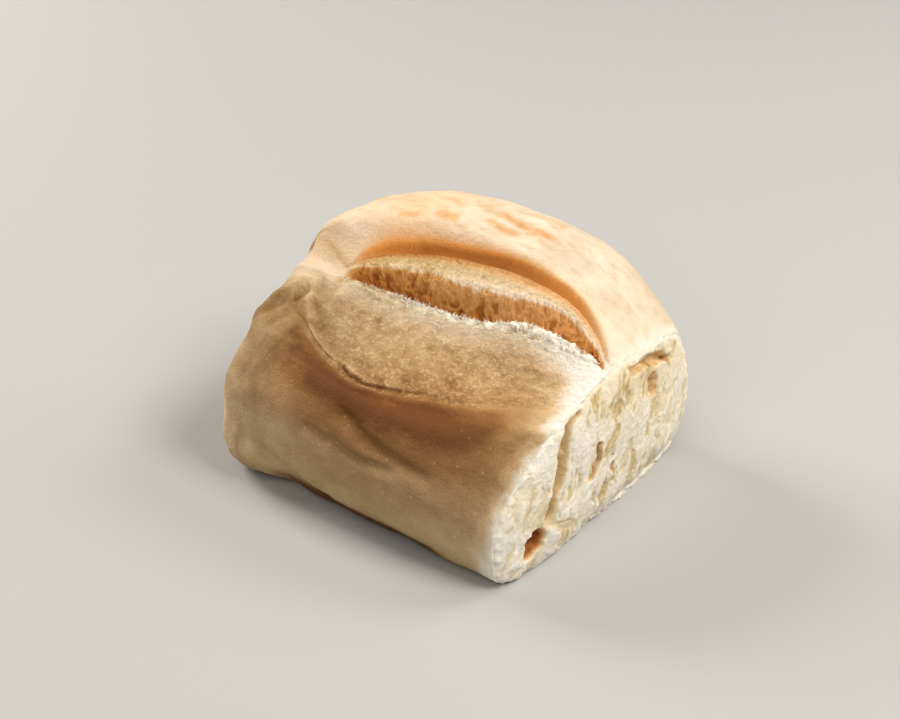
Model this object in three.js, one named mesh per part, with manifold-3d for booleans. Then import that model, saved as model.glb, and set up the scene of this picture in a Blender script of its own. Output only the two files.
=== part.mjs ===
// A short, soft white baguette roll, torn from its neighbour at one end and slashed along its top.
// Millimetres, +Z up. X runs along the loaf with the torn end at +X, and the slash's flap faces -Y.
// The origin is on the table, under the middle of the loaf's box.
import * as THREE from 'three';
import { mergeVertices } from 'three/addons/utils/BufferGeometryUtils.js';
import Module from 'manifold-3d';

// Driving dimensions.
const LENGTH = 90.5;
const HALF_WIDTH = 40.7;
const HEIGHT = 56.5;

// How the ends close: the share of the half length that turns the corner, and how square it turns.
const CLOSED_END = { corner: 0.25, squareness: 3.1 };
const TORN_END = { corner: 0.07, squareness: 2.2 };
const TORN_BULGE = 1.3;
const TORN_BULGE_FROM = 0.4;
const END_CENTRE = 0.32;

// The section, in order round the loaf from the middle of its base. Each point is given at the
// closed end, the middle and the torn end, as shares of HALF_WIDTH and HEIGHT.
const BASE_AND_FRONT = {
  baseMiddle: [[-0.04, 0], [-0.04, 0], [-0.04, 0]],
  baseFront: [[-0.66, 0], [-0.71, 0], [-0.62, 0]],
  footFront: [[-0.86, 0.03], [-0.85, 0.02], [-0.9, 0.03]],
  wallLow: [[-0.93, 0.155], [-0.975, 0.14], [-0.945, 0.155]],
  wallMiddle: [[-0.91, 0.34], [-0.98, 0.34], [-0.92, 0.3]],
  wallHigh: [[-0.85, 0.46], [-0.94, 0.47], [-0.73, 0.45]],
  brow: [[-0.57, 0.68], [-0.85, 0.56], [-0.46, 0.57]],
};
const CROWN_AND_REAR = {
  crownFront: [[-0.05, 0.85], [0.33, 0.97], [0.22, 0.62]],
  crown: [[0.21, 0.845], [0.575, 0.99], [0.48, 0.58]],
  shoulder: [[0.48, 0.8], [0.825, 0.92], [0.765, 0.54]],
  rearHigh: [[0.75, 0.6], [0.915, 0.735], [0.92, 0.41]],
  rearWall: [[0.85, 0.4], [0.99, 0.45], [0.99, 0.27]],
  rearLow: [[0.85, 0.18], [0.96, 0.18], [0.96, 0.13]],
  footRear: [[0.77, 0.04], [0.84, 0.03], [0.8, 0.03]],
  baseRear: [[0.58, 0], [0.58, 0], [0.52, 0]],
};
const FULLNESS = 2.6;
const CROWN_PEAK = 0.15;

// The slash: its line along the top, and where its fold and its mouth start, are widest and end,
// as shares of the half length. Its points are offsets in mm from the line where it is fully open.
const SLASH_LINE = [[-0.24, 0.778], [-0.07, 0.72], [0.03, 0.67]];
const LINE_FULLNESS = 2;
const LENS_ROUNDNESS = 0.6;
// Where the slash closes, its points spread from a narrow line to the plain arc over the loaf, as far
// from the middle as these shares of the half length: all alike at the closed end, the fold's and
// the mouth's points differently at the torn end. Only the outermost points lie well apart from the
// line, by a high power of their place in the row.
const CLOSED_LINE = 0.15;
const APART = 8;
const CLOSED_SPREAD = { from: 0.56, to: 0.97 };
const FOLD = { start: -0.78, widest: 0, end: 0.94, spread: { from: 0.64, to: 1.04 } };
const MOUTH = { start: -0.61, widest: -0.08, end: 0.91, spread: { from: 0.88, to: 1.02 } };
const SLASH = {
  foldCrest: { at: [-28.5, -7.9], lens: FOLD },
  fold: { at: [-26.2, -7.8], lens: FOLD },
  foldBack: { at: [-22.4, -8.6], lens: FOLD },
  flapMiddle: { at: [-12, -5], lens: FOLD },
  flapEdge: { at: [-0.5, -1.5], lens: MOUTH },
  flapLip: { at: [2, -2.5], lens: MOUTH },
  valley: { at: [3.5, -6.5], lens: MOUTH },
  wallFoot: { at: [5, -4], lens: MOUTH },
  wallTop: { at: [6.2, 3.4], lens: MOUTH },
  shelf: { at: [9.2, 6.2], lens: MOUTH },
  earUnder: { at: [12.3, 7.4], lens: MOUTH },
  ear: { at: [13, 10.7], lens: MOUTH },
};
// Where the slash's points lie further back and higher: by how many mm each, round which share of
// the half length, and how far along it.
const SHIFTS = {
  foldCrest: [[-1.2, 0.1, -0.08, 0.2], [0, -0.6, 0.5, 0.3], [0, -1, -0.5, 0.25]],
  fold: [[-2.2, 0.3, -0.08, 0.2], [0, 0.9, -0.3, 0.4], [0, -1.6, -0.5, 0.25]],
  foldBack: [[-3.6, 0.5, -0.08, 0.2], [0, 0.8, 0.5, 0.3], [0, -2, -0.5, 0.25]],
  flapMiddle: [[0, 1, 0.55, 0.28], [0, -0.6, -0.5, 0.25]],
  flapEdge: [[0, 3.2, 0.5, 0.28], [0, 3, 0.55, 0.2], [3, 4, 0.85, 0.2]],
  flapLip: [[0, 1.8, 0.5, 0.28], [0, 3, 0.55, 0.2], [3, 3, 0.85, 0.2]],
  valley: [[3, 3, 0.85, 0.2]],
  wallFoot: [[3, 3, 0.85, 0.2]],
  wallTop: [[0, 2.2, 0.4, 0.35], [3.2, 3.4, 0.68, 0.26]],
  shelf: [[0.6, -0.6, -0.35, 0.35], [0, 1.5, 0.35, 0.3], [1.4, 3, 0.65, 0.22]],
  earUnder: [[0, -1.8, -0.4, 0.25], [0, 1.6, 0.3, 0.25], [0, 3.4, 0.65, 0.2]],
  ear: [[0, -1.2, -0.4, 0.25], [0, 2.5, 0.3, 0.25], [0, 4, 0.65, 0.2]],
};

// Soft dents and swellings of the front wall, in mm: their line [x, z], how wide and how deep.
const FRONT_MARKS = [
  { from: [-4, 29], to: [22, 22.4], reach: 2, depth: 0.8 },
  { from: [-12, 23], to: [13, 21.4], reach: 1.8, depth: 0.6 },
  { from: [-30, 14], to: [-4.2, 4.2], reach: 2, depth: 1.1 },
  { from: [-37, 8], to: [-29, 5], reach: 7, depth: -1.6 },
  { from: [-23, 1], to: [-19, 6], reach: 4, depth: 1.4 },
];

// Pockets pulled open in the torn face, in mm: their path [y, z], their radius and how far their
// middle lies under the face.
const TORN_POCKETS = {
  cornerHole: { path: [[-29.5, 6], [-27.3, 8.2], [-25, 10.2]], radius: 3, sunk: 1.2 },
  rimFurrow: { path: [[-12, 34.4], [-17.5, 26], [-22.8, 13.6]], radius: 2, sunk: 0.2 },
  middleSlit: { path: [[-5.2, 24.5], [-6, 19.5], [-8.2, 15]], radius: 1.6, sunk: 0 },
  lowPit: { path: [[-3.1, 12.6], [-2.6, 9.5], [-2.2, 6.4]], radius: 1.9, sunk: 0.2 },
  upperPocket: { path: [[17.4, 29.6], [18.4, 27], [19.2, 24.4]], radius: 2.3, sunk: 0.3 },
  underCrust: { path: [[9, 35], [17, 33.6], [26.5, 30.2]], radius: 1.7, sunk: 0.4 },
  lowLedge: { path: [[-24.5, 13.4], [-19, 9.6], [-13.5, 6.4]], radius: 1.5, sunk: 0.4 },
};

// How finely the skin and the pockets are divided.
const BODY_RINGS = 40;
const CAP_RINGS = 8;
const STEPS_ROUND = 3;
const STEPS_IN_SLASH = 2;
const POCKET_RINGS = 8;
const POCKET_SIDES = 10;

const CRUST_COLOUR = 0xd8b079;
const CRUST_ROUGHNESS = 0.7;

// Blends a value given at the closed end, the middle and the torn end; s runs from -1 to 1.
function along(s, [closed, middle, torn], fullness) {
  const bend = Math.abs(s) ** fullness;
  const slope = s * Math.abs(s) ** (fullness - 2);
  return middle + ((torn - closed) / 2) * slope + ((closed + torn) / 2 - middle) * bend;
}

// One section point at s, in mm.
function sectionPoint(s, stations, fullness) {
  const y = along(s, stations.map((station) => station[0] * HALF_WIDTH), fullness);
  const z = along(s, stations.map((station) => station[1] * HEIGHT), fullness);
  return new THREE.Vector3(0, y, z);
}

// How far the slash is open at s: 1 at its widest and 0 beyond its ends, in the shape of a lens.
function openness(s, lens) {
  const reach = s < lens.widest ? lens.start - lens.widest : lens.end - lens.widest;
  const share = Math.min((s - lens.widest) / reach, 1);
  return (1 - share ** 2) ** LENS_ROUNDNESS;
}

// How far a point of the closed slash has spread from its line at s, by its place in the row: 0 on
// the line, 1 on the plain arc over the loaf.
function spreading(s, lens, place) {
  const narrow = CLOSED_LINE + (1 - CLOSED_LINE) * Math.abs(2 * place - 1) ** APART;
  const closedEnd = THREE.MathUtils.smoothstep(-s, CLOSED_SPREAD.from, CLOSED_SPREAD.to);
  const tornEnd = THREE.MathUtils.smoothstep(s, lens.spread.from, lens.spread.to);
  return narrow + (1 - narrow) * (closedEnd + tornEnd);
}

// The curve of second order through its start at 0, its middle at 1/2 and its end at 1.
function arcPoint(start, middle, end, t) {
  const point = start.clone().multiplyScalar((1 - t) * (1 - 2 * t));
  return point.addScaledVector(middle, 4 * t * (1 - t)).addScaledVector(end, t * (2 * t - 1));
}

// How far a point of the slash is shifted back and up at s, in mm.
function shiftAt(s, shifts) {
  const total = new THREE.Vector3();
  shifts.forEach(([back, up, middle, reach]) => {
    total.addScaledVector(new THREE.Vector3(0, back, up), Math.exp(-(((s - middle) / reach) ** 2)));
  });
  return total;
}

// The control points of the slash at s, between the brow before it and the crown behind it.
function slashPoints(s, brow, crownFront) {
  const line = sectionPoint(s, SLASH_LINE, LINE_FULLNESS);
  const slash = Object.entries(SLASH);
  return slash.map(([name, { at, lens }], index) => {
    const open = openness(s, lens);
    const place = (index + 1) / (slash.length + 1);
    const closed = arcPoint(brow, line, crownFront, place);
    const away = new THREE.Vector3(0, ...at).add(shiftAt(s, SHIFTS[name]));
    const towardsArc = spreading(s, lens, place) * (1 - open);
    return line.clone().addScaledVector(away, open).addScaledVector(closed.sub(line), towardsArc);
  });
}

// The control points of the whole section at s.
function sectionPoints(s) {
  const side = s > CROWN_PEAK ? 1 - CROWN_PEAK : 1 + CROWN_PEAK;
  const fromPeak = (s - CROWN_PEAK) / side;
  const front = Object.values(BASE_AND_FRONT).map((p) => sectionPoint(s, p, FULLNESS));
  const rear = Object.values(CROWN_AND_REAR).map((p) => sectionPoint(fromPeak, p, FULLNESS));
  return [...front, ...slashPoints(s, front[front.length - 1], rear[0]), ...rear];
}

// Where the vertices lie round the section, as shares of the closed curve.
function roundShares() {
  const front = Object.keys(BASE_AND_FRONT).length;
  const slashEnd = front + Object.keys(SLASH).length;
  const count = slashEnd + Object.keys(CROWN_AND_REAR).length;
  const shares = [];
  for (let point = 0; point < count; point += 1) {
    const steps = point >= front && point < slashEnd ? STEPS_IN_SLASH : STEPS_ROUND;
    for (let step = 0; step < steps; step += 1) {
      shares.push((point + step / steps) / count);
    }
  }
  return shares;
}

// The rings from end to end: s, and the share of the section's size that the ring has.
function ringPlan() {
  const plan = [];
  const cap = (end, size) => 1 - end.corner * (1 - (1 - size ** end.squareness) ** (1 / end.squareness));
  for (let ring = 1; ring < CAP_RINGS; ring += 1) {
    const size = Math.sin(((ring / CAP_RINGS) * Math.PI) / 2);
    plan.push({ s: -cap(CLOSED_END, size), size });
  }
  const first = -1 + CLOSED_END.corner;
  const last = 1 - TORN_END.corner;
  for (let ring = 0; ring <= BODY_RINGS; ring += 1) {
    plan.push({ s: THREE.MathUtils.lerp(first, last, ring / BODY_RINGS), size: 1 });
  }
  for (let ring = CAP_RINGS - 1; ring > 0; ring -= 1) {
    const size = Math.sin(((ring / CAP_RINGS) * Math.PI) / 2);
    plan.push({ s: cap(TORN_END, size), size });
  }
  return plan;
}

// The x of a point at s and y: the torn end bulges in the middle of its width.
function lengthwise(s, y) {
  const ramp = Math.max((s - TORN_BULGE_FROM) / (1 - TORN_BULGE_FROM), 0) ** 2;
  const bulge = TORN_BULGE * ramp * (1 - 2 * (y / HALF_WIDTH) ** 2);
  return (s * (LENGTH - TORN_BULGE) - TORN_BULGE) / 2 + bulge;
}

// How far a point of the front wall is pressed in by the dents, or out by the swellings.
function pressedIn(x, z) {
  const here = new THREE.Vector3(x, 0, z);
  const nearest = new THREE.Vector3();
  let depth = 0;
  for (const mark of FRONT_MARKS) {
    const start = new THREE.Vector3(mark.from[0], 0, mark.from[1]);
    const end = new THREE.Vector3(mark.to[0], 0, mark.to[1]);
    new THREE.Line3(start, end).closestPointToPoint(here, true, nearest);
    depth += mark.depth * Math.exp(-((here.distanceTo(nearest) / mark.reach) ** 2));
  }
  return depth;
}

// A closed body from rings of equal count, each end drawn together in a point.
function closeRings(rings, firstPole, lastPole) {
  const count = rings[0].length;
  const points = [firstPole, ...rings.flat(), lastPole];
  const index = [];
  const at = (ring, step) => 1 + ring * count + (step % count);
  for (let step = 0; step < count; step += 1) {
    index.push(0, at(0, step), at(0, step + 1));
    for (let ring = 0; ring < rings.length - 1; ring += 1) {
      index.push(at(ring, step), at(ring + 1, step), at(ring, step + 1));
      index.push(at(ring, step + 1), at(ring + 1, step), at(ring + 1, step + 1));
    }
    index.push(at(rings.length - 1, step), points.length - 1, at(rings.length - 1, step + 1));
  }
  const geometry = new THREE.BufferGeometry().setFromPoints(points);
  geometry.setIndex(index);
  return geometry;
}

// The loaf's skin.
function loafSkin() {
  const shares = roundShares();
  const centre = new THREE.Vector3(0, 0, END_CENTRE * HEIGHT);
  const rings = ringPlan().map(({ s, size }) => {
    const curve = new THREE.CatmullRomCurve3(sectionPoints(s), true, 'catmullrom', 0.5);
    return shares.map((share) => {
      const point = curve.getPoint(share).lerp(centre, 1 - size);
      point.x = lengthwise(s, point.y);
      const frontness = THREE.MathUtils.smoothstep(-point.y, HALF_WIDTH * 0.55, HALF_WIDTH * 0.8);
      point.y += pressedIn(point.x, point.z) * frontness * size;
      point.z = Math.max(point.z, 0);
      return point;
    });
  });
  const leftPole = new THREE.Vector3(lengthwise(-1, 0), 0, centre.z);
  const rightPole = new THREE.Vector3(lengthwise(1, 0), 0, centre.z);
  return closeRings(rings, leftPole, rightPole);
}

// A pocket: a round body along its path that tapers to a point at both ends.
function pocketBody({ path, radius, sunk }) {
  const points = path.map(([y, z]) => new THREE.Vector3(lengthwise(1, y) - sunk, y, z));
  const curve = new THREE.CatmullRomCurve3(points);
  const inward = new THREE.Vector3(-1, 0, 0);
  const rings = [];
  for (let ring = 1; ring < POCKET_RINGS; ring += 1) {
    const share = ring / POCKET_RINGS;
    const middle = curve.getPoint(share);
    const across = new THREE.Vector3().crossVectors(curve.getTangent(share), inward).normalize();
    const size = radius * Math.sqrt(1 - (2 * share - 1) ** 2);
    const sides = [];
    for (let side = 0; side < POCKET_SIDES; side += 1) {
      const angle = (side / POCKET_SIDES) * 2 * Math.PI;
      const point = middle.clone().addScaledVector(across, size * Math.cos(angle));
      sides.push(point.addScaledVector(inward, size * Math.sin(angle)));
    }
    rings.push(sides);
  }
  return closeRings(rings, curve.getPoint(0), curve.getPoint(1));
}

const wasm = await Module();
wasm.setup();

// A closed geometry as a manifold-3d solid.
function toSolid(geometry) {
  const merged = mergeVertices(geometry);
  const vertProperties = new Float32Array(merged.attributes.position.array);
  const triVerts = new Uint32Array(merged.index.array);
  return new wasm.Manifold(new wasm.Mesh({ numProp: 3, vertProperties, triVerts }));
}

// A manifold-3d solid as a three.js geometry.
function toGeometry(solid) {
  const mesh = solid.getMesh();
  const geometry = new THREE.BufferGeometry();
  geometry.setAttribute('position', new THREE.BufferAttribute(mesh.vertProperties, 3));
  geometry.setIndex(new THREE.BufferAttribute(mesh.triVerts, 1));
  geometry.computeVertexNormals();
  return geometry;
}

// The loaf with its pockets cut, set on the table with its box centred over the origin.
function loafGeometry() {
  let solid = toSolid(loafSkin());
  for (const pocket of Object.values(TORN_POCKETS)) {
    solid = solid.subtract(toSolid(pocketBody(pocket)));
  }
  const geometry = toGeometry(solid);
  geometry.computeBoundingBox();
  const middle = geometry.boundingBox.getCenter(new THREE.Vector3());
  geometry.translate(-middle.x, -middle.y, -geometry.boundingBox.min.z);
  return geometry;
}

const crust = new THREE.MeshStandardMaterial({
  color: CRUST_COLOUR,
  roughness: CRUST_ROUGHNESS,
  metalness: 0,
});
const loaf = new THREE.Mesh(loafGeometry(), crust);
loaf.name = 'loaf';

const baguette = new THREE.Group();
baguette.add(loaf);
export default baguette;
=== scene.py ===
"""Looks of a short white baguette roll, torn at one end and slashed along its top.

Shapes are worked out in millimetres round the middle of the loaf's base and set over the packed
loaf. X runs along the loaf to its torn end, the slash's flap faces -Y, and Z is up.
"""

import math

import bpy
import numpy as np
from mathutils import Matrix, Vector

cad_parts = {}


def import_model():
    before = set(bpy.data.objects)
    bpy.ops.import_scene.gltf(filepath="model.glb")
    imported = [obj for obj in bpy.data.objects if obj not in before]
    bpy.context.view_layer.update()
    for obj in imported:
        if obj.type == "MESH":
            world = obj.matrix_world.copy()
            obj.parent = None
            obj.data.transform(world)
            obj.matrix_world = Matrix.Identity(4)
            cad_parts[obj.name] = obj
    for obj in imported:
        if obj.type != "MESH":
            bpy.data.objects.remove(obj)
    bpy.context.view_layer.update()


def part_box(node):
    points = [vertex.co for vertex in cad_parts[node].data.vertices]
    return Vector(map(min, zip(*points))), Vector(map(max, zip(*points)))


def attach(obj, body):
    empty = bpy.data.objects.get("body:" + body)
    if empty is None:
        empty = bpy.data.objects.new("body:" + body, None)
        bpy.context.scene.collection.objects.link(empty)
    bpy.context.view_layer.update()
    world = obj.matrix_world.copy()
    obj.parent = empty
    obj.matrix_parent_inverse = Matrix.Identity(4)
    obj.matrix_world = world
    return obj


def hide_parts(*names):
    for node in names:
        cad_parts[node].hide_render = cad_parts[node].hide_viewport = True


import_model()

MM = 0.001
LOAF_LOW, LOAF_HIGH = (np.array(corner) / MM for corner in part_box("loaf"))
LENGTH, _, HEIGHT = LOAF_HIGH - LOAF_LOW
HALF_WIDTH = 40.7

# ---- The loaf's form ----

# How the ends close: the share of the half length that turns the corner, and how square it turns.
CLOSED_CORNER = 0.25
CLOSED_SQUARENESS = 3.1
TORN_CORNER = 0.07
TORN_SQUARENESS = 2.2
TORN_BULGE = 1.3
TORN_BULGE_FROM = 0.4
# The point that both ends close on, seen along the loaf.
END_MIDDLE = np.array([0, 0, 0.32 * HEIGHT])

# The section, in order round the loaf from the middle of its base. Each point is given at the
# closed end, the middle and the torn end, as shares of HALF_WIDTH and HEIGHT.
BASE_AND_FRONT = {
    "base middle": ((-0.04, 0), (-0.04, 0), (-0.04, 0)),
    "base front": ((-0.66, 0), (-0.71, 0), (-0.62, 0)),
    "foot front": ((-0.86, 0.03), (-0.85, 0.02), (-0.9, 0.03)),
    "wall low": ((-0.93, 0.155), (-0.975, 0.14), (-0.945, 0.155)),
    "wall middle": ((-0.91, 0.34), (-0.98, 0.34), (-0.92, 0.3)),
    "wall high": ((-0.85, 0.46), (-0.94, 0.47), (-0.73, 0.45)),
    "brow": ((-0.57, 0.68), (-0.85, 0.56), (-0.46, 0.57)),
}
CROWN_AND_REAR = {
    "crown front": ((-0.05, 0.85), (0.33, 0.97), (0.22, 0.62)),
    "crown": ((0.21, 0.845), (0.575, 0.99), (0.48, 0.58)),
    "shoulder": ((0.48, 0.8), (0.825, 0.92), (0.765, 0.54)),
    "rear high": ((0.75, 0.6), (0.915, 0.735), (0.92, 0.41)),
    "rear wall": ((0.85, 0.4), (0.99, 0.45), (0.99, 0.27)),
    "rear low": ((0.85, 0.18), (0.96, 0.18), (0.96, 0.13)),
    "foot rear": ((0.77, 0.04), (0.84, 0.03), (0.8, 0.03)),
    "base rear": ((0.58, 0), (0.58, 0), (0.52, 0)),
}
FULLNESS = 2.6
CROWN_PEAK = 0.15

# The slash: its line along the top, and where its fold and its mouth start, are widest and end,
# as shares of the half length. Its points are offsets in mm from the line where it is fully open.
SLASH_LINE = ((-0.24, 0.778), (-0.07, 0.72), (0.03, 0.67))
LINE_FULLNESS = 2
FOLD_SPAN = (-0.78, 0.0, 0.94)
MOUTH_SPAN = (-0.61, -0.08, 0.91)
LENS_ROUNDNESS = 0.6
# Where the slash closes, its points spread from a narrow line to the plain arc over the loaf,
# between these shares of the half length: all alike at the closed end, the fold's and the mouth's
# points differently at the torn end. Only the outermost points lie well apart from the line, by a
# high power of their place in the row.
CLOSED_LINE = 0.15
APART = 8
CLOSED_SPREAD = (-0.56, -0.97)
FOLD = (FOLD_SPAN, (0.64, 1.04))
MOUTH = (MOUTH_SPAN, (0.88, 1.02))
SLASH = {
    "fold crest": ((-28.5, -7.9), FOLD),
    "fold": ((-26.2, -7.8), FOLD),
    "fold back": ((-22.4, -8.6), FOLD),
    "flap middle": ((-12, -5), FOLD),
    "flap edge": ((-0.5, -1.5), MOUTH),
    "flap lip": ((2, -2.5), MOUTH),
    "valley": ((3.5, -6.5), MOUTH),
    "wall foot": ((5, -4), MOUTH),
    "wall top": ((6.2, 3.4), MOUTH),
    "shelf": ((9.2, 6.2), MOUTH),
    "ear under": ((12.3, 7.4), MOUTH),
    "ear": ((13, 10.7), MOUTH),
}
# Where the slash's points lie further back and higher: by how many mm each, round which share of
# the half length, and how far along it.
SHIFTS = {
    "fold crest": [(-1.2, 0.1, -0.08, 0.2), (0, -0.6, 0.5, 0.3), (0, -1.0, -0.5, 0.25)],
    "fold": [(-2.2, 0.3, -0.08, 0.2), (0, 0.9, -0.3, 0.4), (0, -1.6, -0.5, 0.25)],
    "fold back": [(-3.6, 0.5, -0.08, 0.2), (0, 0.8, 0.5, 0.3), (0, -2, -0.5, 0.25)],
    "flap middle": [(0, 1, 0.55, 0.28), (0, -0.6, -0.5, 0.25)],
    "flap edge": [(0, 3.2, 0.5, 0.28), (0, 3, 0.55, 0.2), (3, 4, 0.85, 0.2)],
    "flap lip": [(0, 1.8, 0.5, 0.28), (0, 3, 0.55, 0.2), (3, 3, 0.85, 0.2)],
    "valley": [(3, 3, 0.85, 0.2)],
    "wall foot": [(3, 3, 0.85, 0.2)],
    "wall top": [(0, 2.2, 0.4, 0.35), (3.2, 3.4, 0.68, 0.26)],
    "shelf": [(0.6, -0.6, -0.35, 0.35), (0, 1.5, 0.35, 0.3), (1.4, 3, 0.65, 0.22)],
    "ear under": [(0, -1.8, -0.4, 0.25), (0, 1.6, 0.3, 0.25), (0, 3.4, 0.65, 0.2)],
    "ear": [(0, -1.2, -0.4, 0.25), (0, 2.5, 0.3, 0.25), (0, 4, 0.65, 0.2)],
}

NAMES = [*BASE_AND_FRONT, *SLASH, *CROWN_AND_REAR]


def at(name):
    """Where a named section point lies round the loaf, counted in points."""
    return NAMES.index(name)


def ease(value, low, high):
    """0 below low, 1 above high, smooth between; low may be the larger."""
    t = np.clip((value - low) / (high - low), 0, 1)
    return t * t * (3 - 2 * t)


def hump(value, middle, reach):
    """A bell of height 1 round the middle."""
    return np.exp(-(((value - middle) / reach) ** 2))


def round_blend(values, v):
    """Values given at the section points, eased from each point to the next at v round the loaf."""
    values = np.asarray(values, float)
    start = np.floor(v).astype(int)
    t = v - start
    t = t * t * (3 - 2 * t)
    count = len(values)
    return (values[start % count].T * (1 - t) + values[(start + 1) % count].T * t).T


def along(s, stations, fullness):
    """Middle value plus a slope and a bend in |s| to the fullness, through all three stations."""
    closed, middle, torn = (np.asarray(station, float) for station in stations)
    bend = np.abs(s) ** fullness
    slope = s * np.abs(s) ** (fullness - 2)
    return (middle + np.multiply.outer(slope, (torn - closed) / 2)
            + np.multiply.outer(bend, (closed + torn) / 2 - middle))


def openness(s, span):
    """How open the slash is at s: a lens, (1 - q squared) to the roundness, q from its widest."""
    start, widest, end = span
    q = np.where(s < widest, (s - widest) / (start - widest), (s - widest) / (end - widest))
    return np.clip(1 - np.clip(q, 0, 1) ** 2, 0, 1) ** LENS_ROUNDNESS


def mouth_open(s):
    """How open the slash's mouth is, for the columns of a grid."""
    return openness(s, MOUTH_SPAN)[:, None]


def arc(start, middle, end, t):
    """The curve of second order through its start at 0, its middle at 1/2 and its end at 1."""
    return start * (1 - t) * (1 - 2 * t) + middle * 4 * t * (1 - t) + end * t * (2 * t - 1)


def section_points(s):
    """The section's control points at each s, in mm: an array of stations, points and (y, z)."""
    size = np.array([HALF_WIDTH, HEIGHT])
    front = [along(s, stations, FULLNESS) * size for stations in BASE_AND_FRONT.values()]
    from_peak = (s - CROWN_PEAK) / np.where(s > CROWN_PEAK, 1 - CROWN_PEAK, 1 + CROWN_PEAK)
    rear = [along(from_peak, stations, FULLNESS) * size for stations in CROWN_AND_REAR.values()]
    line = along(s, SLASH_LINE, LINE_FULLNESS) * size
    slash = []
    for index, (name, (offset, (span, torn_spread))) in enumerate(SLASH.items()):
        is_open = openness(s, span)[:, None]
        place = (index + 1) / (len(SLASH) + 1)
        closed = arc(front[-1], line, rear[0], place)
        narrow = CLOSED_LINE + (1 - CLOSED_LINE) * abs(2 * place - 1) ** APART
        spread = ease(s, *CLOSED_SPREAD) + ease(s, *torn_spread)
        away = offset + sum(np.outer(hump(s, middle, reach), (back, up))
                            for back, up, middle, reach in SHIFTS[name])
        towards_arc = (narrow + (1 - narrow) * spread)[:, None] * (1 - is_open)
        slash.append(line + away * is_open + (closed - line) * towards_arc)
    return np.stack(front + slash + rear, 1)


def closed_curve(points, v):
    """A closed Catmull-Rom curve through the points of each station, at v counted in points."""
    count = points.shape[1]
    start = np.floor(v).astype(int)
    t = (v - start)[None, :, None]
    a, b, c, d = (points[:, (start + step) % count] for step in (-1, 0, 1, 2))
    return 0.5 * (2 * b + (c - a) * t + (2 * a - 5 * b + 4 * c - d) * t ** 2
                  + (3 * b - a - 3 * c + d) * t ** 3)


def lengthwise(s, y):
    """The x of a point at s and y: the torn end bulges in the middle of its width."""
    ramp = np.clip((s - TORN_BULGE_FROM) / (1 - TORN_BULGE_FROM), 0, None) ** 2
    bulge = TORN_BULGE * ramp * (1 - 2 * (y / HALF_WIDTH) ** 2)
    return (s * (LENGTH - TORN_BULGE) - TORN_BULGE) / 2 + bulge


def loaf_form(s, size, v):
    """The plain form: sections at s, drawn in towards the end's centre by their size."""
    section = closed_curve(section_points(s), v)
    section = END_MIDDLE[1:] + (section - END_MIDDLE[1:]) * size[:, None, None]
    x = lengthwise(s[:, None], section[..., 0])
    return np.concatenate([x[..., None], section], 2)


def end_rings(count, corner, squareness):
    """Sizes from small to full, and the s of each on a superellipse that closes an end."""
    size = np.sin(np.linspace(0, np.pi / 2, count + 1)[:-1])
    return size, 1 - corner * (1 - (1 - size ** squareness) ** (1 / squareness))


# ---- Noise, all of it in mm and the same each run ----

rng = np.random.default_rng(7)
SHUFFLE = np.concatenate([rng.permutation(256)] * 2)
GRADIENTS = rng.normal(size=(256, 3))
GRADIENTS /= np.linalg.norm(GRADIENTS, axis=1)[:, None]
CELL_POINTS = rng.random((256, 3))
# Brings the noise to about -1 to 1, and how far each octave lies from the one before.
NOISE_GAIN = 1.6
OCTAVE_SHIFT = 31.7
# How steeply a strand falls off on both sides.
STRAND_STEEPNESS = 1.6
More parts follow.
